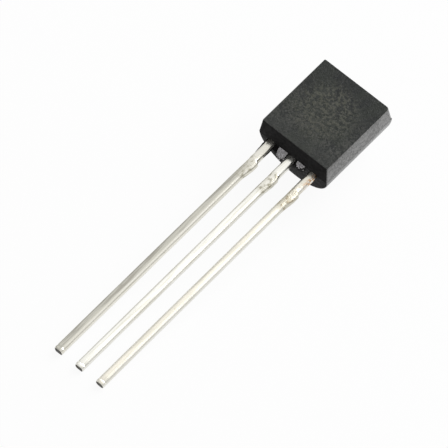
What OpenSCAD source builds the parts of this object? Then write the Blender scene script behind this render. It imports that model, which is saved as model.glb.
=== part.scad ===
// Three-lead voltage regulator in a small moulded package with one flat side.
//
// Drawing frame: X across the package, Y along the leads with their tips at -Y, Z towards
// the flat face. y = 0 is the end that the leads leave. z = 0 is the middle of the lead
// sheet. The two halves of the mould meet at the front of that sheet.
//
// Laid down, the part rests on its round back and its three lead tips with the flat face
// up. The origin is then on the ground, under the middle of the part's box.

/* [Moulded body] */
// Width across the sides, where the mould halves meet
body_width = 4.2; // [3.9:0.05:4.8]
// Length along the leads, where the mould halves meet
body_length = 4.65; // [4.4:0.05:5.2]
// Depth from the middle of the leads to the flat face
front_depth = 1.15; // [0.95:0.05:1.4]
// Draft of the two sides in front of the leads, in degrees
side_draft = 6.5; // [2:0.5:10]
// Draft of the two ends in front of the leads, in degrees
front_end_draft = 8; // [2:0.5:12]
// Draft of the two ends behind the leads, in degrees
back_end_draft = 6; // [2:0.5:10]
// Radius along the four edges of the flat face
edge_radius = 0.1; // [0.04:0.01:0.2]
// Reach of the torn resin web that is left between two leads
web_reach = 0.1; // [0.04:0.01:0.3]

/* [Leads] */
// Distance between the middles of neighbouring leads
lead_pitch = 1.27; // [1.2:0.01:1.4]
// Width of a lead
lead_width = 0.46; // [0.38:0.01:0.55]
// Thickness of the sheet that the leads are stamped from
lead_thickness = 0.38; // [0.34:0.01:0.45]
// Length of the leads outside the body
lead_length = 14.6; // [12:0.1:16]
// Distance from the body to the cut remains of the dam bar
bar_distance = 1.1; // [0.8:0.05:2]
// Width of the dam bar, along the leads
bar_width = 0.85; // [0.5:0.05:1.2]
// How far the cut remains of the dam bar stand out of each side of a lead
bar_stub = 0.06; // [0.03:0.01:0.15]

/* [Lead ends inside the body] */
// Gap between the middle lead and the bonding pads of the outer leads
pad_gap = 0.3; // [0.2:0.05:0.35]
// Width of the bonding pad of an outer lead
pad_width = 1.1; // [1.05:0.05:1.2]
// Length of the bonding pad of an outer lead
pad_length = 0.8; // [0.5:0.05:0.9]
// Depth in the body at which the bonding pads start
pad_depth = 0.75; // [0.6:0.05:0.9]
// Gap between the bonding pads and the flag that carries the chip
flag_gap = 0.4; // [0.3:0.05:0.5]
// Width of the flag
flag_width = 1.7; // [1.5:0.05:2]
// Length of the flag
flag_length = 2; // [1.9:0.05:2.1]

/* [Chip and bond wires] */
// Width of the silicon chip
chip_width = 1.1; // [0.9:0.05:1.3]
// Length of the silicon chip
chip_length = 1.2; // [0.9:0.05:1.25]
// Thickness of the silicon chip
chip_thickness = 0.28; // [0.2:0.01:0.3]
// Distance from the end of the flag to the chip
chip_inset = 0.15; // [0.1:0.01:0.2]
// Thickness of the adhesive under the chip
attach_thickness = 0.03; // [0.02:0.005:0.05]
// Width of the adhesive fillet around the chip
attach_margin = 0.05; // [0.02:0.01:0.1]
// Distance from the chip's edges to the middles of its contacts
contact_inset = 0.15; // [0.12:0.01:0.25]
// Diameter of a bond wire
wire_diameter = 0.05; // [0.04:0.005:0.06]
// Diameter of the ball that joins a wire to the chip
ball_diameter = 0.12; // [0.1:0.01:0.16]
// Height of the ball that joins a wire to the chip
ball_height = 0.04; // [0.03:0.005:0.05]
// Height above the chip at which a wire turns towards its lead
neck_height = 0.15; // [0.1:0.01:0.18]
// Diameter of the flattened stitch that joins a wire to its lead
stitch_diameter = 0.14; // [0.12:0.01:0.18]
// Height of the flattened stitch that joins a wire to its lead
stitch_height = 0.06; // [0.055:0.005:0.08]
// Height of a wire's arch, as a share of its span
arch_share = 0.12; // [0.08:0.01:0.15]

/* [Hidden] */
$fn = 64;

// Lead sheet
sheet_top = lead_thickness / 2;
pad_inner_x = lead_width / 2 + pad_gap;
pad_top_y = pad_depth + pad_length;
flag_y = pad_top_y + flag_gap;
flag_top_y = flag_y + flag_length;

// Body, with depths counted from the front of the lead sheet, where the mould halves meet
front_height = front_depth - sheet_top;
back_radius = body_width / 2;
back_depth = back_radius - sheet_top;
cut_margin = 1;
edge_steps = 6;

// Chip
attach_top = sheet_top + attach_thickness;
chip_top = attach_top + chip_thickness;
chip_y = flag_top_y - chip_inset - chip_length;
contact_x = chip_width / 2 - contact_inset;
contact_y = chip_y + contact_inset;

// Where the wires land
pad_middle = [pad_inner_x + pad_width / 2, pad_depth + pad_length / 2];
flag_landing = [0, (flag_y + chip_y - attach_margin) / 2];

// The lay-down: the part turns about X until the back's lower edge and the lead tips touch
// the ground, then its box is centred over the origin.
back_edge_y = back_radius * tan(back_end_draft);
rest_tilt = atan((back_depth - sheet_top) / (lead_length + back_edge_y));
rest_lift = back_depth * cos(rest_tilt) - back_edge_y * sin(rest_tilt);
tips_y = -lead_length * cos(rest_tilt) - sheet_top * sin(rest_tilt);
far_end_y = max(
    body_length * cos(rest_tilt) - sheet_top * sin(rest_tilt),
    (body_length - back_edge_y) * cos(rest_tilt) + back_depth * sin(rest_tilt)
);
rest_shift = -(tips_y + far_end_y) / 2;

module lay_down() {
    translate([0, rest_shift, rest_lift]) rotate([rest_tilt, 0, 0]) children();
}

// Points along an arc, from one angle to another
function arc(centre, radius, from, to) = [
    for (i = [0 : edge_steps])
        let (angle = from + (to - from) * i / edge_steps)
        centre + radius * [cos(angle), sin(angle)]
];

// Middle of the rounding between the flat face and a wall that leans in by `draft`.
// `wall` is where that wall stands at height 0, counted towards the rounding.
function edge_centre(wall, draft) = [
    wall - (front_height - edge_radius) * tan(draft) - edge_radius / cos(draft),
    front_height - edge_radius
];

// Half of a front outline: up a leaning wall and round onto the flat face
function front_half(wall, draft) = concat(
    [[wall, 0]],
    arc(edge_centre(wall, draft), edge_radius, draft, 90)
);

function mirrored(points) = [for (i = [len(points) - 1 : -1 : 0]) [-points[i].x, points[i].y]];

// Section across the leads, from where the mould halves meet: the flat face and leaning
// sides in front, half a circle behind
module cross_section() {
    half = front_half(back_radius, side_draft);
    polygon(concat(half, mirrored(half)));
    intersection() {
        circle(r = back_radius);
        translate([-body_width, -body_width]) square([2 * body_width, body_width]);
    }
}

// Section along the leads, drawn about the middle of the body's length
module long_section() {
    half = front_half(body_length / 2, front_end_draft);
    depth = back_radius + cut_margin;
    low = [body_length / 2 - depth * tan(back_end_draft), -depth];
    polygon(concat([low], half, mirrored(concat([low], half))));
}

module blank() {
    translate([0, 0, sheet_top]) intersection() {
        translate([0, body_length + cut_margin, 0]) rotate([90, 0, 0])
            linear_extrude(body_length + 2 * cut_margin) cross_section();
        translate([-body_width, body_length / 2, 0]) rotate([90, 0, 90])
            linear_extrude(2 * body_width) long_section();
    }
}

// What is left of the resin that ran out between two leads as far as the dam bar
module web_remains() {
    web_width = lead_pitch - lead_width;
    for (side = [-1, 1])
        translate([side * lead_pitch / 2 - web_width / 2, -web_reach, -sheet_top])
            cube([web_width, web_reach + pad_depth / 2, lead_thickness]);
}

module sheet() {
    translate([0, 0, -sheet_top]) linear_extrude(lead_thickness) children();
}

// The straight length of a lead, with the cut remains of the dam bar
module lead_strip(x, inside) {
    stub_width = lead_width + 2 * bar_stub;
    translate([x - lead_width / 2, -lead_length]) square([lead_width, lead_length + inside]);
    translate([x - stub_width / 2, -bar_distance - bar_width]) square([stub_width, bar_width]);
}

// An outer lead, on the -X or the +X side, with its bonding pad
module outer_lead(side) {
    pad_x = side > 0 ? pad_inner_x : -pad_inner_x - pad_width;
    sheet() {
        lead_strip(side * lead_pitch, pad_depth + pad_length / 2);
        translate([pad_x, pad_depth]) square([pad_width, pad_length]);
    }
}

// The middle lead, with the flag that carries the chip
module middle_lead() {
    sheet() {
        lead_strip(0, flag_y + flag_length / 2);
        translate([-flag_width / 2, flag_y]) square([flag_width, flag_length]);
    }
}

module attach_layer() {
    translate([-chip_width / 2 - attach_margin, chip_y - attach_margin, sheet_top])
        cube([chip_width + 2 * attach_margin, chip_length + 2 * attach_margin, attach_thickness]);
}

module chip() {
    translate([-chip_width / 2, chip_y, attach_top])
        cube([chip_width, chip_length, chip_thickness]);
}

// A wire from a contact on the chip to a landing on the lead sheet: a ball, an upright
// neck with a bend at its top, an arch, and a flattened stitch.
module bond_wire(contact, landing) {
    run = landing - contact;
    drop = chip_top + neck_height - sheet_top - stitch_height / 2;
    span = norm([run.x, run.y, drop]);
    rise = arch_share * span;
    radius = (span * span / 4 + rise * rise) / (2 * rise);
    half_angle = asin(span / 2 / radius);
    bend_diameter = 1.15 * wire_diameter;

    translate([contact.x, contact.y, chip_top]) {
        cylinder(d = ball_diameter, h = ball_height);
        cylinder(d = wire_diameter, h = neck_height);
        translate([0, 0, neck_height]) {
            sphere(d = bend_diameter);
            rotate([0, 0, atan2(run.y, run.x)]) rotate([0, asin(drop / span), 0])
                translate([span / 2, 0, rise - radius])
                rotate([90, 0, 0]) rotate([0, 0, 90 - half_angle])
                rotate_extrude(angle = 2 * half_angle)
                translate([radius, 0]) circle(d = wire_diameter);
        }
    }
    translate([landing.x, landing.y, sheet_top]) cylinder(d = stitch_diameter, h = stitch_height);
}

module output_wire() {
    bond_wire([-contact_x, contact_y], [-pad_middle.x, pad_middle.y]);
}

module ground_wire() {
    bond_wire([0, contact_y], flag_landing);
}

module input_wire() {
    bond_wire([contact_x, contact_y], pad_middle);
}

// The resin fills every space around the pieces that it is moulded over
module moulded_body() {
    color([0.24, 0.25, 0.23]) lay_down() difference() {
        union() {
            blank();
            web_remains();
        }
        outer_lead(-1);
        middle_lead();
        outer_lead(1);
        attach_layer();
        chip();
        output_wire();
        ground_wire();
        input_wire();
    }
}

module output_lead() {
    color([0.87, 0.85, 0.8]) lay_down() outer_lead(-1);
}

module ground_lead() {
    color([0.87, 0.85, 0.8]) lay_down() middle_lead();
}

module input_lead() {
    color([0.87, 0.85, 0.8]) lay_down() outer_lead(1);
}

module die_attach() {
    color([0.6, 0.6, 0.58]) lay_down() attach_layer();
}

module regulator_die() {
    color([0.35, 0.37, 0.42]) lay_down() chip();
}

module output_bond_wire() {
    color([0.9, 0.72, 0.3]) lay_down() output_wire();
}

module ground_bond_wire() {
    color([0.9, 0.72, 0.3]) lay_down() ground_wire();
}

module input_bond_wire() {
    color([0.9, 0.72, 0.3]) lay_down() input_wire();
}

moulded_body();
output_lead();
ground_lead();
input_lead();
die_attach();
regulator_die();
output_bond_wire();
ground_bond_wire();
input_bond_wire();
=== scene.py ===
import math

import bmesh
import bpy
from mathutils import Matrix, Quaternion, Vector


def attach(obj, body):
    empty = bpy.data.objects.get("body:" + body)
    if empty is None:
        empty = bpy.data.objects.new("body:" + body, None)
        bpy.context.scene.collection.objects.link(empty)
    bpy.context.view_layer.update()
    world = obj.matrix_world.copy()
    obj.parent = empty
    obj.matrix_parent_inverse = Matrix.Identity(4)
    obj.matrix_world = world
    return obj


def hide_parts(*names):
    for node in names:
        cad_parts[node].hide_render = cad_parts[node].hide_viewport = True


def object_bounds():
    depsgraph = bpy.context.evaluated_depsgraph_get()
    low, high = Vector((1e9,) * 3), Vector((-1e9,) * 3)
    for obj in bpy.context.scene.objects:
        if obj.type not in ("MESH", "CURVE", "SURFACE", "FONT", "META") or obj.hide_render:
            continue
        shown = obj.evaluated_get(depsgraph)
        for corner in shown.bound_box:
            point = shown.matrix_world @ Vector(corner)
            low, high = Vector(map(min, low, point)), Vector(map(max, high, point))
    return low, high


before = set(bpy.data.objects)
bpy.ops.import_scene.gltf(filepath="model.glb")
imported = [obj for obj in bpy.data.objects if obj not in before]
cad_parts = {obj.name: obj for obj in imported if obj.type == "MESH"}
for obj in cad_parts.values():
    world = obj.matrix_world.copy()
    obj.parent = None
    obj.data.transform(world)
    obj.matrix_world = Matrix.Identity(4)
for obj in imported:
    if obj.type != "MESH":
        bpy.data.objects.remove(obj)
cad_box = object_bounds()

# ---------------------------------------------------------------------------------------
# The three leads
# One strip of copper alloy sheet, stamped to shape, moulded in and then tinned. Inside the
# body the outer leads end in bonding pads and the middle one in the flag for the chip.
# ---------------------------------------------------------------------------------------

MM = 0.001
lead_pitch = 1.27 * MM
lead_width = 0.46 * MM
lead_thickness = 0.38 * MM
lead_length = 14.6 * MM
bar_distance = 1.25 * MM
bar_width = 1.05 * MM
bar_shoulder = 0.1 * MM
bar_taper = 0.6 * MM
bar_dent = 0.012 * MM
pad_depth = 0.75 * MM
pad_length = 0.8 * MM
pad_gap = 0.3 * MM
pad_width = 1.1 * MM
flag_gap = 0.4 * MM
flag_width = 1.7 * MM
flag_length = 2.0 * MM
cut_spacing = 0.25 * MM
cut_tolerance = 0.0001 * MM
cut_rounding = 0.02 * MM
# Each ring: its depth from the tip in millimetres, and its share of the width and thickness
tip_rings = (
    (0.0, 0.93, 0.84), (0.04, 0.98, 0.94), (0.10, 1.02, 1.01), (0.16, 1.0, 0.98), (0.21, 0.96, 0.93),
    (0.27, 1.0, 1.0),
)
twisted_length = 2.2 * MM
unevenness = 0.006 * MM
unevenness_spacing = 1.6 * MM
sharp_angle = math.radians(50)
smooth_angle = math.radians(35)
# The least share of a face's normal along an axis, for the face to be square on to it
square_on = 0.9

sheet_top = lead_thickness / 2
pad_top = pad_depth + pad_length
flag_start = pad_top + flag_gap
flag_end = flag_start + flag_length

# The pieces are modelled flat, with Y along the leads and Z towards the flat face. Then
# they are laid down on the round back and the lead tips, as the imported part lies.
body_width = 4.2 * MM
body_length = 4.65 * MM
back_end_draft = math.radians(6)
back_radius = body_width / 2
back_depth = back_radius - sheet_top
back_edge_y = back_radius * math.tan(back_end_draft)
rest_tilt = math.atan((back_depth - sheet_top) / (lead_length + back_edge_y))
rest_lift = back_depth * math.cos(rest_tilt) - back_edge_y * math.sin(rest_tilt)
rest_shift = cad_box[0][1] + lead_length * math.cos(rest_tilt) + sheet_top * math.sin(rest_tilt)


def deselect_all():
    """Leave edit mode, with nothing selected."""
    if bpy.context.object and bpy.context.object.mode != "OBJECT":
        bpy.ops.object.mode_set(mode="OBJECT")
    bpy.ops.object.select_all(action="DESELECT")


def pick(piece):
    """Make this the one selected and active object."""
    deselect_all()
    piece.select_set(True)
    bpy.context.view_layer.objects.active = piece


def add_block(name, low, high):
    """A cube sized and placed between two corners."""
    deselect_all()
    low, high = Vector(low), Vector(high)
    bpy.ops.mesh.primitive_cube_add(size=1, location=(low + high) / 2)
    block = bpy.context.object
    block.name = block.data.name = name
    block.scale = high - low
    bpy.ops.object.transform_apply(location=True, rotation=True, scale=True)
    return block


def select_faces(wanted):
    """In edit mode, select the faces whose centre and normal pass a test."""
    bpy.ops.mesh.select_mode(type="FACE")
    bpy.ops.mesh.select_all(action="DESELECT")
    mesh = bmesh.from_edit_mesh(bpy.context.object.data)
    for face in mesh.faces:
        face.select_set(wanted(face.calc_center_median(), face.normal))
    mesh.select_flush_mode()
    bmesh.update_edit_mesh(bpy.context.object.data)


def select_edges(wanted):
    """In edit mode, select the edges whose two ends pass a test."""
    bpy.ops.mesh.select_mode(type="EDGE")
    bpy.ops.mesh.select_all(action="DESELECT")
    mesh = bmesh.from_edit_mesh(bpy.context.object.data)
    for edge in mesh.edges:
        edge.select_set(wanted(edge.verts[0].co, edge.verts[1].co))
    mesh.select_flush_mode()
    bmesh.update_edit_mesh(bpy.context.object.data)


def cut_across(point, normal, **trim):
    """In edit mode, cut the whole mesh with a plane."""
    bpy.ops.mesh.select_all(action="SELECT")
    bpy.ops.mesh.bisect(plane_co=point, plane_no=normal, threshold=cut_tolerance, **trim)


def apply_modifier(piece, kind, **settings):
    """Add a modifier with its settings, and apply it."""
    modifier = piece.modifiers.new(kind.title(), kind)
    for setting, value in settings.items():
        setattr(modifier, setting, value)
    pick(piece)
    bpy.ops.object.modifier_apply(modifier=modifier.name)


def move_faces(wanted, offset):
    """Extrude the faces that pass a test."""
    select_faces(wanted)
    bpy.ops.mesh.extrude_region_move(TRANSFORM_OT_translate={"value": offset})


def lay_down(piece):
    """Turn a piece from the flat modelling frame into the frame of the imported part."""
    pick(piece)
    piece.rotation_euler = (rest_tilt, 0, 0)
    piece.location = (piece.location.x, rest_shift, rest_lift)
    bpy.ops.object.transform_apply(location=True, rotation=True, scale=True)


def finish_piece(piece, slot, *nodes):
    """Lay a finished piece down and let it stand for its nodes."""
    lay_down(piece)
    bpy.ops.object.shade_smooth_by_angle(angle=smooth_angle)
    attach(piece, "root")
    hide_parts(*nodes)


def widen(start, end, left, right):
    """Push the sides of a lead out to left and right, between two places along it."""
    for side, reach in ((-1, left), (1, right)):
        if reach > lead_width / 2:
            move_faces(
                lambda centre, normal: normal.x * side > square_on and start < centre.y < end,
                (side * (reach - lead_width / 2), 0, 0),
            )


def punch_bar(start, end, stub):
    """Shape the sides where the dam bar was: a stub is left on one, a dent on the other."""
    for y in (start, start + bar_taper, end - bar_shoulder, end):
        cut_across((0, y, 0), (0, 1, 0))
    for side, shift in ((-1, bar_dent), (1, stub)):
        select_faces(lambda centre, normal: normal.x * side > square_on
                     and start + bar_taper < centre.y < end - bar_shoulder)
        bpy.ops.transform.translate(value=(shift, 0, 0))


def round_tip():
    """Shape the tip of a lead, where the shears pressed its edge down and raised a bead."""
    for ring in tip_rings[1:]:
        cut_across((0, -lead_length + ring[0] * MM, 0), (0, 1, 0))
    for depth, across, thick in tip_rings:
        y = -lead_length + depth * MM
        select_edges(
            lambda first, second: max(abs(first.y - y), abs(second.y - y)) < cut_tolerance
        )
        bpy.ops.transform.resize(value=(across, 1, thick), center_override=(0, y, -sheet_top))


def model_lead(name, inner_end, inner_start, left, right, stub, edge_rounding, twist):
    """One stamped lead about x = 0, from its tip to the end of its pad or flag."""
    lead = add_block(
        name,
        (-lead_width / 2, -lead_length, -sheet_top),
        (lead_width / 2, inner_end, sheet_top),
    )
    bpy.ops.object.mode_set(mode="EDIT")
    for y in (0, inner_start):
        cut_across((0, y, 0), (0, 1, 0))
    punch_bar(-bar_distance - bar_width, -bar_distance, stub)
    widen(inner_start, inner_end, left, right)
    select_edges(lambda first, second: abs(first.y - second.y) > cut_rounding)
    bpy.ops.mesh.bevel(offset=edge_rounding, segments=5, affect="EDGES")
    round_tip()
    bpy.ops.object.mode_set(mode="OBJECT")
    apply_modifier(lead, "BEVEL", width=cut_rounding, segments=2, limit_method="ANGLE",
                   angle_limit=sharp_angle)

    bpy.ops.object.mode_set(mode="EDIT")
    for step in range(1, int(lead_length / cut_spacing)):
        cut_across((0, -lead_length + step * cut_spacing, 0), (0, 1, 0))
    bpy.ops.object.mode_set(mode="OBJECT")

    # The sheared edges are a little uneven, and a lead turns slightly about its length.
    clouds = bpy.data.textures.new(name + "_unevenness", type="CLOUDS")
    clouds.noise_scale = unevenness_spacing
    apply_modifier(lead, "DISPLACE", texture=clouds, strength=unevenness, mid_level=0.5)
    whole = lead_length + inner_end
    apply_modifier(lead, "SIMPLE_DEFORM", deform_method="TWIST", deform_axis="Y", angle=twist,
                   limits=((lead_length - twisted_length) / whole, lead_length / whole))
    return lead


pad_near = lead_width / 2 + pad_gap - lead_pitch
pad_far = pad_near + pad_width
output_lead = model_lead(
    "tinned_output_lead", inner_end=pad_top, inner_start=pad_depth, left=pad_far, right=-pad_near,
    stub=0.10 * MM, edge_rounding=0.13 * MM, twist=math.radians(6.5),
)
output_lead.location.x = -lead_pitch
ground_lead = model_lead(
    "tinned_ground_lead", inner_end=flag_end, inner_start=flag_start, left=flag_width / 2,
    right=flag_width / 2, stub=0.065 * MM, edge_rounding=0.13 * MM, twist=0,
)
input_lead = model_lead(
    "tinned_input_lead", inner_end=pad_top, inner_start=pad_depth, left=-pad_near, right=pad_far,
    stub=0.075 * MM, edge_rounding=0.17 * MM, twist=math.radians(-2),
)
input_lead.location.x = lead_pitch


def new_material(name, **surface):
    """A material with its surface shader, whose even settings are given here."""
    material = bpy.data.materials.new(name)
    material.use_nodes = True
    shader = material.node_tree.nodes["Principled BSDF"]
    for socket, value in surface.items():
        shader.inputs[socket.replace("_", " ")].default_value = value
    return material, material.node_tree, shader


def feed(tree, socket, value):
    """Link an output to a socket, or set the socket to a plain value."""
    if isinstance(value, bpy.types.NodeSocket):
        tree.links.new(value, socket)
    else:
        socket.default_value = value


def add_node(tree, kind, settings=None, **values):
    """A node with its settings, and with values or links for its inputs by name or number."""
    node = tree.nodes.new(kind)
    for setting, value in (settings or {}).items():
        setattr(node, setting, value)
    for name, value in values.items():
        numbered = name[1:].isdigit()
        feed(tree, node.inputs[int(name[1:]) if numbered else name.replace("_", " ")], value)
    return node


def ramp(tree, factor, low, high, out_low=0.0, out_high=1.0):
    """A smooth step of a value between two limits."""
    node = add_node(tree, "ShaderNodeMapRange", {"interpolation_type": "SMOOTHSTEP"}, Value=factor,
                    From_Min=low, From_Max=high, To_Min=out_low, To_Max=out_high)
    return node.outputs["Result"]


def maths(tree, operation, first, second=0.0):
    """The result of one sum on a value, or on two."""
    node = add_node(tree, "ShaderNodeMath", {"operation": operation}, _0=first, _1=second)
    return node.outputs[0]


def blend_colour(tree, factor, first, second):
    """A colour that goes from the first to the second as the factor goes from 0 to 1."""
    node = add_node(tree, "ShaderNodeMix", {"data_type": "RGBA"}, _0=factor, _6=first, _7=second)
    return node.outputs[2]


def flat_coordinates(tree):
    """Object coordinates turned back into the flat modelling frame, in millimetres."""
    place = add_node(tree, "ShaderNodeTexCoord").outputs["Object"]
    moved = add_node(tree, "ShaderNodeVectorMath", {"operation": "SUBTRACT"}, _0=place,
                     _1=(0, rest_shift, rest_lift)).outputs[0]
    turned = add_node(tree, "ShaderNodeVectorRotate", {"rotation_type": "X_AXIS"}, Vector=moved,
                      Angle=-rest_tilt).outputs[0]
    return add_node(tree, "ShaderNodeVectorMath", {"operation": "SCALE"}, _0=turned,
                    Scale=1 / MM).outputs[0]


# Pits, filler grains, streaks and scuffs are all the same effect at different sizes.
grain = bpy.data.node_groups.new("Fine grain", "ShaderNodeTree")
grain.interface.new_socket("Place", in_out="INPUT", socket_type="NodeSocketVector")
grain.interface.new_socket("Grains per mm", in_out="INPUT", socket_type="NodeSocketFloat")
grain.interface.new_socket("Stretch", in_out="INPUT", socket_type="NodeSocketVector")
grain.interface.new_socket("Height", in_out="OUTPUT", socket_type="NodeSocketFloat")
grain.interface.new_socket("Blotches", in_out="OUTPUT", socket_type="NodeSocketFloat")
grain_in = grain.nodes.new("NodeGroupInput")
grain_out = grain.nodes.new("NodeGroupOutput")
stretched = add_node(grain, "ShaderNodeVectorMath", {"operation": "MULTIPLY"},
                     _0=grain_in.outputs["Place"], _1=grain_in.outputs["Stretch"]).outputs[0]
fine = add_node(grain, "ShaderNodeTexNoise", Vector=stretched, Detail=6.0, Roughness=0.6,
                Scale=grain_in.outputs["Grains per mm"])
blotch_share = 0.12
blotches_per_mm = maths(grain, "MULTIPLY", grain_in.outputs["Grains per mm"], blotch_share)
coarse = add_node(grain, "ShaderNodeTexNoise", Vector=stretched, Detail=3.0, Scale=blotches_per_mm)
grain.links.new(fine.outputs[0], grain_out.inputs["Height"])
grain.links.new(coarse.outputs[0], grain_out.inputs["Blotches"])


def add_grain(tree, place, per_mm, stretch=(1, 1, 1)):
    """Place the grain group in a material: its fine height and its coarse blotches."""
    group = add_node(tree, "ShaderNodeGroup", {"node_tree": grain})
    tree.links.new(place, group.inputs["Place"])
    group.inputs["Grains per mm"].default_value = per_mm
    group.inputs["Stretch"].default_value = stretch
    return group.outputs["Height"], group.outputs["Blotches"]


def add_bump(tree, shader, height, distance):
    """Fine relief of a height map, whose full height is the distance."""
    bump = add_node(tree, "ShaderNodeBump", Height=height, Distance=distance, Strength=1.0)
    tree.links.new(bump.outputs["Normal"], shader.inputs["Normal"])


tin_bright = (0.97, 0.96, 0.90, 1)
tin_dull = (0.68, 0.66, 0.57, 1)
tin_warm = (0.86, 0.82, 0.72, 1)
tin_grey_painted_shade = (0.80, 0.78, 0.71, 1)
tin_painted_shade = (0.56, 0.55, 0.49, 1)
tin_edge_painted_shade = (0.81, 0.80, 0.75, 1)
tin_streaked = (0.38, 0.36, 0.31, 1)
tin_stained_and_shaded = (0.34, 0.32, 0.24, 1)
tin_browned_and_shaded = (0.36, 0.30, 0.20, 1)
tin_scuffed_and_shaded = (0.62, 0.59, 0.49, 1)
bare_copper = (0.62, 0.38, 0.20, 1)
tin_relief = 0.0012 * MM
dimple_share = 0.12
stain_and_shade_strength = 0.85
pitch_in_mm = lead_pitch / MM

tinned, tree, shader = new_material("tinned copper alloy", Metallic=1.0)
place = flat_coordinates(tree)
axes = add_node(tree, "ShaderNodeSeparateXYZ", Vector=place).outputs
near_body = ramp(tree, axes["Y"], -1.3, -0.3)
streak_height, streaks = add_grain(tree, place, per_mm=9.0, stretch=(1, 0.06, 1))
dimple_height = add_grain(tree, place, per_mm=22.0)[0]
last_lead = ramp(tree, axes["X"], 0.6, 0.7)
colour = blend_colour(tree, last_lead, tin_bright, tin_warm)
# Painted shade: the first lead is painted greyer all over, standing in for its dimmer reflection.
first_lead = ramp(tree, axes["X"], -0.6, -0.7)
colour = blend_colour(tree, first_lead, colour, tin_grey_painted_shade)
# Painted shade: the left part of the first lead, from about 1.3 mm out from the body to its tip, is
# painted darker, standing in for a dimmer reflection.
painted_shade_band = maths(tree, "MULTIPLY", ramp(tree, axes["X"], -1.14, -1.23),
                  ramp(tree, axes["Y"], -1.3, -2.1))
colour = blend_colour(tree, painted_shade_band, colour, tin_painted_shade)
# Painted shade: the edges of the second and third lead are painted greyer, standing in for the dimmer
# reflection at their rounded edges.
from_between = maths(tree, "SUBTRACT", maths(tree, "PINGPONG", axes["X"], pitch_in_mm), pitch_in_mm / 2)
from_centre = maths(tree, "SUBTRACT", pitch_in_mm / 2, maths(tree, "ABSOLUTE", from_between))
other_leads = maths(tree, "SUBTRACT", 1.0, first_lead)
edge_painted_shade = maths(tree, "MULTIPLY", ramp(tree, from_centre, 0.08, 0.2), other_leads)
colour = blend_colour(tree, edge_painted_shade, colour, tin_edge_painted_shade)
colour = blend_colour(tree, ramp(tree, streak_height, 0.44, 0.64, 0.0, 0.6), colour, tin_dull)
# Dark streaks are added only inside the painted shade band.
streaks_in_painted_shade = maths(tree, "MULTIPLY", painted_shade_band, ramp(tree, streak_height, 0.5, 0.38, 0.0, 0.7))
colour = blend_colour(tree, streaks_in_painted_shade, colour, tin_streaked)
# Where the dam bar was punched away the surface is scuffed and stained, and it is also painted greyer
# and darker there as painted shade of its bumpy sheared surface. Elsewhere there are only a few small
# nicks.
bar_near = ramp(tree, axes["Y"], -1.0, -1.3)
bar_far = ramp(tree, axes["Y"], -2.6, -2.2)
at_bar = maths(tree, "MULTIPLY", bar_near, bar_far)
scuff_height = add_grain(tree, place, per_mm=5.0, stretch=(1, 0.6, 1))[0]
bar_stains_and_shade = maths(tree, "MULTIPLY", at_bar, ramp(tree, scuff_height, 0.47, 0.64))
nicks = ramp(tree, scuff_height, 0.68, 0.73)
stain_and_shade_colour = blend_colour(tree, last_lead, tin_stained_and_shaded, tin_browned_and_shaded)
scuffed_and_shaded = maths(tree, "MULTIPLY", at_bar, ramp(tree, axes["X"], -0.4, 1.0, 0.25, 0.75))
colour = blend_colour(tree, scuffed_and_shaded, colour, tin_scuffed_and_shaded)
stains_nicks_and_shade = maths(tree, "MAXIMUM", maths(tree, "MULTIPLY", bar_stains_and_shade, stain_and_shade_strength), nicks)
colour = blend_colour(tree, stains_nicks_and_shade, colour, stain_and_shade_colour)
# The plating is thin near the body, where copper shows in a few small spots.
right_side = ramp(tree, axes["X"], 1.25, 1.45)
spot_height = add_grain(tree, place, per_mm=8.0)[0]
spots = ramp(tree, spot_height, 0.44, 0.56)
copper = maths(tree, "MULTIPLY", maths(tree, "MULTIPLY", near_body, right_side), spots)
colour = blend_colour(tree, copper, colour, bare_copper)
tree.links.new(colour, shader.inputs["Base Color"])
roughness = ramp(tree, streaks, 0.3, 0.7, 0.2, 0.38)
roughness = maths(tree, "MULTIPLY", roughness, ramp(tree, near_body, 0.0, 1.0, 1.0, 0.6))
tree.links.new(roughness, shader.inputs["Roughness"])
relief = maths(tree, "ADD", streak_height, maths(tree, "MULTIPLY", dimple_height, dimple_share))
scuff_relief = maths(tree, "MULTIPLY", maths(tree, "MULTIPLY", scuff_height, at_bar),
                     ramp(tree, axes["X"], -0.4, 1.0, 12.0, 34.0))
add_bump(tree, shader, maths(tree, "ADD", relief, scuff_relief), tin_relief)

# The sheared ends show bare, torn metal, painted nearly black as painted shade.
torn_painted_shade_dark = (0.035, 0.035, 0.03, 1)
torn_painted_shade_light = (0.09, 0.08, 0.065, 1)
torn_relief = 0.02 * MM
sheared, tree, shader = new_material("sheared lead end", Metallic=1.0)
place = flat_coordinates(tree)
tear_height, tears = add_grain(tree, place, per_mm=16.0, stretch=(1, 1, 0.15))
colour = blend_colour(tree, ramp(tree, tears, 0.4, 0.6), torn_painted_shade_dark, torn_painted_shade_light)
tree.links.new(colour, shader.inputs["Base Color"])
tree.links.new(ramp(tree, tears, 0.3, 0.7, 0.4, 0.6), shader.inputs["Roughness"])
add_bump(tree, shader, tear_height, torn_relief)

dressed_leads = (
    (output_lead, "output_lead"),
    (ground_lead, "ground_lead"),
    (input_lead, "input_lead"),
)
for lead, node in dressed_leads:
    lead.data.materials.append(tinned)
    lead.data.materials.append(sheared)
    for face in lead.data.polygons:
        at_tip = face.normal.y < -square_on and face.center.y < -lead_length + cut_rounding
        face.material_index = 1 if at_tip else 0
    finish_piece(lead, "tinned_lead", node)

# ---------------------------------------------------------------------------------------
# The chip, its adhesive and the bond wires
# A polished silicon chip is stuck on the middle lead's flag with silver-filled adhesive.
# Three fine gold wires run from its contacts to the leads. The resin seals them all in.
# ---------------------------------------------------------------------------------------


def dress_node(name, material):
    """Give a carried-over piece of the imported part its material."""
    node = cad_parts[name]
    node.data.materials.clear()
    node.data.materials.append(material)


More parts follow.
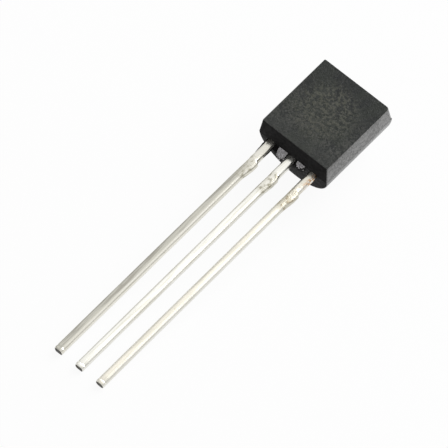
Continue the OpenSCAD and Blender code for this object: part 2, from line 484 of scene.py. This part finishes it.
circuit_dark = (0.10, 0.11, 0.16, 1)
circuit_pale = (0.16, 0.17, 0.20, 1)
circuit_tracks = (0.35, 0.33, 0.28, 1)
adhesive_dark = (0.40, 0.40, 0.38, 1)
adhesive_silver = (0.66, 0.66, 0.63, 1)
adhesive_relief = 0.01 * MM
gold_dark = (0.86, 0.60, 0.20, 1)
gold_bright = (0.95, 0.72, 0.30, 1)
gold_relief = 0.002 * MM

silicon, tree, shader = new_material("polished silicon", Metallic=0.6, Roughness=0.18)
place = flat_coordinates(tree)
# Rows of circuit blocks, seen as faint rectangles in the chip's metal layers.
blocks = add_node(tree, "ShaderNodeTexBrick", Vector=place, Color1=circuit_dark,
                  Color2=circuit_pale, Mortar=circuit_tracks, Scale=9.0)
tree.links.new(blocks.outputs["Color"], shader.inputs["Base Color"])
dress_node("regulator_die", silicon)

adhesive, tree, shader = new_material("silver-filled adhesive", Metallic=0.3)
place = flat_coordinates(tree)
flake_height, flakes = add_grain(tree, place, per_mm=30.0)
colour = blend_colour(tree, ramp(tree, flakes, 0.4, 0.6), adhesive_dark, adhesive_silver)
tree.links.new(colour, shader.inputs["Base Color"])
tree.links.new(ramp(tree, flakes, 0.3, 0.7, 0.4, 0.6), shader.inputs["Roughness"])
add_bump(tree, shader, flake_height, adhesive_relief)
dress_node("die_attach", adhesive)

gold, tree, shader = new_material("drawn gold wire", Metallic=1.0)
place = flat_coordinates(tree)
draw_height, draw_marks = add_grain(tree, place, per_mm=40.0)
colour = blend_colour(tree, draw_marks, gold_dark, gold_bright)
tree.links.new(colour, shader.inputs["Base Color"])
tree.links.new(ramp(tree, draw_marks, 0.3, 0.7, 0.15, 0.3), shader.inputs["Roughness"])
add_bump(tree, shader, draw_height, gold_relief)
for wire in ("output_bond_wire", "ground_bond_wire", "input_bond_wire"):
    dress_node(wire, gold)

# ---------------------------------------------------------------------------------------
# The moulded body
# Black filled epoxy, moulded over the leads and the chip in one shot. The mould's front
# half makes the flat face and its drafted sides, and the back half makes the round back.
# ---------------------------------------------------------------------------------------

front_depth = 1.15 * MM
side_draft = math.radians(6.5)
front_end_draft = math.radians(8)
mould_step = 0.004 * MM
flat_edge_rounding = 0.035 * MM
upright_rounding = 0.06 * MM
worn_corner_rounding = 0.16 * MM
back_edge_rounding = 0.07 * MM
back_overhang = 1 * MM
rim_depth = 0.3 * MM
rim_tolerance = 0.01 * MM

front_height = front_depth - sheet_top

# Front half: a block whose top is drawn in by the drafts, then its corners and edges
front = add_block(
    "front_half",
    (-body_width / 2 + mould_step, mould_step, sheet_top - mould_step),
    (body_width / 2 - mould_step, body_length - mould_step, front_depth),
)
bpy.ops.object.mode_set(mode="EDIT")
select_faces(lambda centre, normal: normal.z > square_on)
bpy.ops.transform.resize(
    value=(
        1 - 2 * (front_height * math.tan(side_draft) - mould_step) / body_width,
        1 - 2 * (front_height * math.tan(front_end_draft) - mould_step) / body_length,
        1,
    )
)


def upright(first, second, worn):
    """True for an upright corner edge. The worn corner is the one at +X, +Y."""
    is_upright = abs(first.z - second.z) > front_height / 2
    at_worn_corner = first.x > 0 and first.y > body_length / 2
    return is_upright and at_worn_corner == worn


select_edges(lambda first, second: upright(first, second, False))
bpy.ops.mesh.bevel(offset=upright_rounding, segments=5, affect="EDGES")
select_edges(lambda first, second: upright(first, second, True))
bpy.ops.mesh.bevel(offset=worn_corner_rounding, segments=8, affect="EDGES")
select_edges(lambda first, second: min(first.z, second.z) > front_depth - mould_step)
bpy.ops.mesh.bevel(offset=flat_edge_rounding, segments=5, affect="EDGES")
bpy.ops.object.mode_set(mode="OBJECT")


def is_back_rim(point):
    """True on the round outline of either end, below the parting plane."""
    from_axis = math.hypot(point.x, point.z - sheet_top)
    at_end = point.y < rim_depth or point.y > body_length - rim_depth
    return from_axis > back_radius - rim_tolerance and at_end


# Back half: a cylinder cut off where the mould halves meet, with drafted ends
deselect_all()
bpy.ops.mesh.primitive_cylinder_add(
    vertices=128, radius=back_radius, depth=body_length + 2 * back_overhang,
    location=(0, body_length / 2, sheet_top), rotation=(math.pi / 2, 0, 0),
)
back = bpy.context.object
back.name = "back_half"
bpy.ops.object.transform_apply(location=True, rotation=True, scale=True)
bpy.ops.object.mode_set(mode="EDIT")
cut_across((0, 0, sheet_top), (0, 0, 1), clear_outer=True, use_fill=True)
cut_across((0, 0, sheet_top), (0, -math.cos(back_end_draft), -math.sin(back_end_draft)),
           clear_outer=True, use_fill=True)
cut_across((0, body_length, sheet_top), (0, math.cos(back_end_draft), -math.sin(back_end_draft)),
           clear_outer=True, use_fill=True)
select_edges(lambda first, second: is_back_rim(first) and is_back_rim(second)
             and abs(first.y - second.y) < rim_depth)
bpy.ops.mesh.bevel(offset=back_edge_rounding, segments=4, affect="EDGES")
bpy.ops.object.mode_set(mode="OBJECT")

apply_modifier(front, "BOOLEAN", object=back, operation="UNION", solver="MANIFOLD")
body = front
body.name = body.data.name = "resin_body"
bpy.data.objects.remove(back)

# What is left of the resin web between the leads, and of the flash along the first lead
chunk_rounding = 0.02 * MM
chunk_grain = 0.13 * MM
chunk_bottom = -sheet_top
web_slope = math.radians(24)


def add_chunk(name, corners, bottom, top, ragged, slope=0):
    """A broken lump of resin by a lead, given by the corners of its outline in millimetres.

    Its top falls by the angle slope, away from the body.
    """
    deselect_all()
    bpy.ops.mesh.primitive_circle_add(vertices=len(corners), fill_type="NGON")
    chunk = bpy.context.object
    chunk.name = chunk.data.name = name
    for vertex, (x, y) in zip(chunk.data.vertices, corners):
        vertex.co = (x * MM, y * MM, bottom)
    bpy.ops.object.mode_set(mode="EDIT")
    bpy.ops.mesh.select_all(action="SELECT")
    bpy.ops.mesh.extrude_region_move(TRANSFORM_OT_translate={"value": (0, 0, top - bottom)})
    bpy.ops.transform.rotate(value=-slope, orient_axis="X", center_override=(0, 0, top))
    bpy.ops.mesh.select_all(action="SELECT")
    bpy.ops.mesh.normals_make_consistent(inside=False)
    bpy.ops.object.mode_set(mode="OBJECT")
    apply_modifier(chunk, "BEVEL", width=chunk_rounding, segments=2)
    apply_modifier(chunk, "SUBSURF", subdivision_type="SIMPLE", levels=3, render_levels=3)
    clouds = bpy.data.textures.new(name, type="CLOUDS")
    clouds.noise_scale = chunk_grain
    clouds.noise_depth = 3
    apply_modifier(chunk, "DISPLACE", texture=clouds, strength=ragged, mid_level=0.5)
    return chunk


web_chunks = (
    add_chunk(
        "first_web",
        ((-0.81, -0.16), (-0.68, -0.38), (-0.46, -0.42), (-0.29, -0.28), (-0.29, 0.12), (-0.81, 0.12)),
        bottom=chunk_bottom, top=0.15 * MM, ragged=0.06 * MM, slope=web_slope,
    ),
    add_chunk(
        "first_rubble",
        ((-1.05, -0.22), (-0.84, -0.28), (-0.84, 0.12), (-1.05, 0.12)),
        bottom=chunk_bottom, top=0.03 * MM, ragged=0.09 * MM,
    ),
    add_chunk(
        "second_web",
        ((0.32, -0.12), (0.45, -0.24), (0.70, -0.16), (0.78, -0.02), (0.78, 0.12), (0.32, 0.12)),
        bottom=chunk_bottom, top=0.17 * MM, ragged=0.06 * MM, slope=web_slope,
    ),
    add_chunk(
        "second_rubble",
        ((0.22, -0.30), (0.36, -0.20), (0.36, 0.12), (0.22, 0.12)),
        bottom=chunk_bottom, top=0.08 * MM, ragged=0.08 * MM,
    ),
)
flash_strips = (
    add_chunk(
        "left_flash",
        ((-1.545, -0.35), (-1.46, -1.25), (-1.40, -1.25), (-1.40, 0.12), (-1.545, 0.12)),
        bottom=-0.10 * MM, top=0.13 * MM, ragged=0.03 * MM,
    ),
    add_chunk(
        "right_flash",
        ((-1.15, -1.40), (-1.08, -1.40), (-1.01, -0.5), (-1.01, 0.12), (-1.15, 0.12)),
        bottom=-0.02 * MM, top=0.08 * MM, ragged=0.03 * MM,
    ),
)

pit_share = 0.75


def make_resin(name, ior, dark, worn, smoothest, roughest, relief):
    """Filled epoxy: dark, with blotches and filler grain, in one copy for each kind of face; the
    copies' colours carry painted light and shade.
    """
    resin, tree, shader = new_material(name, IOR=ior)
    place = flat_coordinates(tree)
    pit_height, blotches = add_grain(tree, place, per_mm=10.0)
    grain_height, fine_blotches = add_grain(tree, place, per_mm=45.0)
    mottle = maths(tree, "ADD", maths(tree, "MULTIPLY", blotches, 1 - pit_share),
                   maths(tree, "MULTIPLY", pit_height, pit_share))
    colour = blend_colour(tree, ramp(tree, mottle, 0.43, 0.57), dark, worn)
    tree.links.new(colour, shader.inputs["Base Color"])
    roughness = ramp(tree, fine_blotches, 0.3, 0.7, smoothest, roughest)
    tree.links.new(roughness, shader.inputs["Roughness"])
    add_bump(tree, shader, maths(tree, "ADD", pit_height, grain_height), relief)
    return resin, tree, shader, place, colour


# The flat face is finely matted. It is painted lighter and a little browner towards the leads as
# painted light, and painted darker towards the far end as painted shade. Hands have left a faint
# lighter patch in its middle.
resin_painted_light = (0.037, 0.040, 0.036, 1)
resin_painted_shade = (0.0005, 0.0025, 0.0025, 1)
resin_smeared = (0.030, 0.036, 0.026, 1)
resin_handled = (0.104, 0.106, 0.081, 1)
patch_middle = (-0.1, 2.4, front_depth / MM)
patch_strength = 0.75

matted, tree, shader, place, colour = make_resin(
    "matted resin", ior=1.37, dark=(0.012, 0.0145, 0.0135, 1), worn=(0.074, 0.076, 0.067, 1),
    smoothest=0.42, roughest=0.58, relief=0.032 * MM,
)
axes = add_node(tree, "ShaderNodeSeparateXYZ", Vector=place).outputs
painted_light_near_leads = ramp(tree, axes["Y"], 1.2, 0.5, 0.0, 0.65)
colour = blend_colour(tree, painted_light_near_leads, colour, resin_painted_light)
painted_shade_far_end = ramp(tree, axes["Y"], 0.8, 4.4, 0.0, 0.85)
colour = blend_colour(tree, painted_shade_far_end, colour, resin_painted_shade)
smear_height, smears = add_grain(tree, place, per_mm=6.0)
tint = ramp(tree, smears, 0.42, 0.58, 0.0, 0.35)
colour = blend_colour(tree, tint, colour, resin_smeared)
from_middle = add_node(tree, "ShaderNodeVectorMath", {"operation": "DISTANCE"}, _0=place,
                       _1=patch_middle).outputs["Value"]
handled = maths(tree, "MULTIPLY", ramp(tree, from_middle, 1.9, 0.9),
                ramp(tree, smear_height, 0.46, 0.58))
handled = maths(tree, "MULTIPLY", handled, patch_strength)
colour = blend_colour(tree, handled, colour, resin_handled)
tree.links.new(colour, shader.inputs["Base Color"])

# The sides are a copy of the resin painted lighter as painted light, the ends a copy painted darkest as
# painted shade, and broken resin shows its pale filler, painted paler still as painted light.
side_painted_light = make_resin(
    "rubbed resin", ior=1.6, dark=(0.080, 0.080, 0.078, 1), worn=(0.220, 0.220, 0.217, 1),
    smoothest=0.26, roughest=0.34, relief=0.0012 * MM,
)[0]
end_painted_shade = make_resin(
    "dull resin", ior=1.33, dark=(0.0015, 0.0015, 0.0015, 1), worn=(0.006, 0.0055, 0.006, 1),
    smoothest=0.75, roughest=0.9, relief=0.004 * MM,
)[0]
# Broken resin is pale with its filler, and is painted paler still as painted light, standing in for
# light that does not reach the webs.
broken = make_resin(
    "broken resin with painted light", ior=2.5, dark=(0.16, 0.15, 0.155, 1), worn=(0.80, 0.77, 0.82, 1),
    smoothest=0.3, roughest=0.5, relief=0.01 * MM,
)[0]
resin_skins = (matted, side_painted_light, end_painted_shade, broken)
body.data.materials.clear()
for skin in resin_skins:
    body.data.materials.append(skin)
flat_skin, side_skin_painted_light, end_skin_painted_shade, broken_skin_painted_light = range(len(resin_skins))
# The shares of a face's normal at which one skin gives way to the next
skin_turn = 0.7
web_top_turn = 0.3
# Each face gets the lighter or darker copy by the way it faces: painted light and painted shade.
for face in body.data.polygons:
    if face.normal.z > skin_turn:
        face.material_index = flat_skin
    elif abs(face.normal.y) > skin_turn:
        face.material_index = end_skin_painted_shade
    else:
        face.material_index = side_skin_painted_light
# Web tops get the broken skin, painted paler as painted light; the other chunk faces get the end skin,
# painted darker as painted shade.
for chunk in web_chunks + flash_strips:
    for skin in resin_skins:
        chunk.data.materials.append(skin)
    is_web = chunk.name.endswith("web")
    for face in chunk.data.polygons:
        is_broken = is_web and face.normal.z > web_top_turn
        face.material_index = broken_skin_painted_light if is_broken else end_skin_painted_shade

# The lumps are sunk into the lead end of the body, and are part of it.
pick(body)
for chunk in web_chunks + flash_strips:
    chunk.select_set(True)
bpy.ops.object.join()
finish_piece(body, "resin", "moulded_body")

# ---------------------------------------------------------------------------------------
# The floor, the light and the camera
# A sheet of white paper, lit by one large softbox behind the part and by a pale room. The
# camera stands well back, above and to the right of the lead tips, with a long lens.
# ---------------------------------------------------------------------------------------

floor_size = 1.2
paper_white = (0.9, 0.9, 0.9, 1)
paper_glow = 0.94


def light_paths(tree):
    """Masks of the rays from the camera, and of those mirrored or let through by a surface."""
    ray = add_node(tree, "ShaderNodeLightPath").outputs
    mirrored = maths(tree, "MAXIMUM", ray["Is Glossy Ray"], ray["Is Transmission Ray"])
    return ray["Is Camera Ray"], mirrored


deselect_all()
bpy.ops.mesh.primitive_plane_add(size=floor_size)
floor = bpy.context.object
floor.name = "floor"
paper, tree, shader = new_material("white paper", Base_Color=paper_white, Roughness=0.9)
from_camera, mirrored = light_paths(tree)
seen = maths(tree, "MAXIMUM", from_camera, mirrored)
glow = add_node(tree, "ShaderNodeEmission", Color=(1, 1, 1, 1), Strength=1.0)
share = maths(tree, "MULTIPLY", seen, paper_glow)
mixed = add_node(tree, "ShaderNodeMixShader", Fac=share, _1=shader.outputs[0], _2=glow.outputs[0])
tree.links.new(mixed.outputs[0], tree.nodes["Material Output"].inputs["Surface"])
floor.data.materials.append(paper)

world = bpy.data.worlds.new("studio")
bpy.context.scene.world = world
world.use_nodes = True
tree = world.node_tree
background = tree.nodes["Background"]
background.inputs["Color"].default_value = (1, 1, 1, 1)
toward = add_node(tree, "ShaderNodeTexCoord").outputs["Object"]
toward = add_node(tree, "ShaderNodeSeparateXYZ", Vector=toward).outputs
# The room lights the part most from behind, and a little more from the right.
room_front = 0.06
room_back = 0.42
right_gain = 1.3
room = ramp(tree, toward["Y"], -0.4, 0.4, room_front, room_back)
room = maths(tree, "MULTIPLY", room, ramp(tree, toward["X"], -0.8, 0.8, 1.0, right_gain))
from_camera, mirrored = light_paths(tree)
# Seen in a mirror, the white room is a little darker low down than overhead.
walls_low = 0.55
walls = maths(tree, "MULTIPLY", mirrored, ramp(tree, toward["Z"], 0.0, 0.9, walls_low, 1.0))
level = maths(tree, "MAXIMUM", maths(tree, "MAXIMUM", room, walls), from_camera)
tree.links.new(level, background.inputs["Strength"])

softbox_direction = Vector((0.15, 0.78, 0.60))
softbox_distance = 0.25
softbox_size = 0.20
softbox_power = 0.70
lamp = bpy.data.lights.new("key_softbox", "AREA")
lamp.size = softbox_size
lamp.energy = softbox_power
softbox = bpy.data.objects.new("key_softbox", lamp)
bpy.context.scene.collection.objects.link(softbox)
softbox.location = softbox_direction.normalized() * softbox_distance
softbox.rotation_euler = softbox_direction.to_track_quat("Z", "Y").to_euler()
softbox.visible_camera = False

aim = Vector((0.06, 0.13, 1.65)) * MM
camera_azimuth = math.radians(-35.25)
camera_elevation = math.radians(56.18)
camera_roll = math.radians(7.8)
camera_distance = 240 * MM
camera_lens = 419.8
camera_film = 36
nearest_seen = 0.01
farthest_seen = 10
to_camera = Vector((
    -math.sin(camera_azimuth) * math.cos(camera_elevation),
    -math.cos(camera_azimuth) * math.cos(camera_elevation),
    math.sin(camera_elevation),
))
camera_data = bpy.data.cameras.new("camera")
camera_data.lens = camera_lens
camera_data.sensor_width = camera_film
camera_data.clip_start = nearest_seen
camera_data.clip_end = farthest_seen
camera = bpy.data.objects.new("camera", camera_data)
bpy.context.scene.collection.objects.link(camera)
camera.location = aim + camera_distance * to_camera
turn = to_camera.to_track_quat("Z", "Y") @ Quaternion((0, 0, 1), camera_roll)
camera.rotation_euler = turn.to_euler()
bpy.context.scene.camera = camera
bpy.context.scene.view_settings.view_transform = "Standard"
